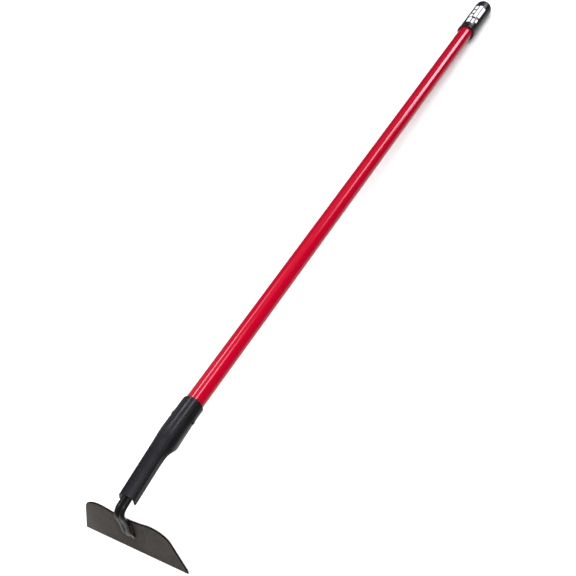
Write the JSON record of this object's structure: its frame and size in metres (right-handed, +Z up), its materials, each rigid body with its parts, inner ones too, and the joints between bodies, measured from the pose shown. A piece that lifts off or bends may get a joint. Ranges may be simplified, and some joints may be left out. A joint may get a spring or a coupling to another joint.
{
  "type": "garden hoe",
  "caption": "Fixed-blade garden hoe: stamped steel blade on two bent shank rods, rolled sheet socket and long tubular handle with a moulded end grip.",
  "frame": {"origin": "on the floor under the middle of the tool's bounding box, with the tool lying as it rests: cutting edge and the grip's rounded end on the floor", "axes": "+X along the tool from the blade towards the grip, level; +Z up; +Y across the tool, along the cutting edge"},
  "size_m": [1.5214, 0.1786, 0.1427],
  "materials": {
    "blade_steel": "matt black lacquer over stamped steel, worn at the edges",
    "shank_steel": "satin black paint",
    "socket_steel": "satin black paint over rolled sheet",
    "weld_steel": "rippled weld bead under satin black paint",
    "handle_fibreglass": "glossy red pultruded fibreglass",
    "core_wood": "plain sawn dowel",
    "rivet_steel": "painted over with the socket",
    "grip_rubber": "glossy black moulded vinyl",
    "label_film": "plain white print, slightly glossy"
  },
  "bodies": {
    "root": {"blade": "blade_steel", "shank_rod_left": "shank_steel", "shank_rod_right": "shank_steel", "blade_weld_left": "weld_steel", "blade_weld_right": "weld_steel", "socket": "socket_steel", "socket_weld_left": "weld_steel", "socket_weld_right": "weld_steel", "handle_tube": "handle_fibreglass", "handle_core": "core_wood", "rivet": "rivet_steel", "grip": "grip_rubber", "grip_label": "label_film"}
  },
  "joints": []
}
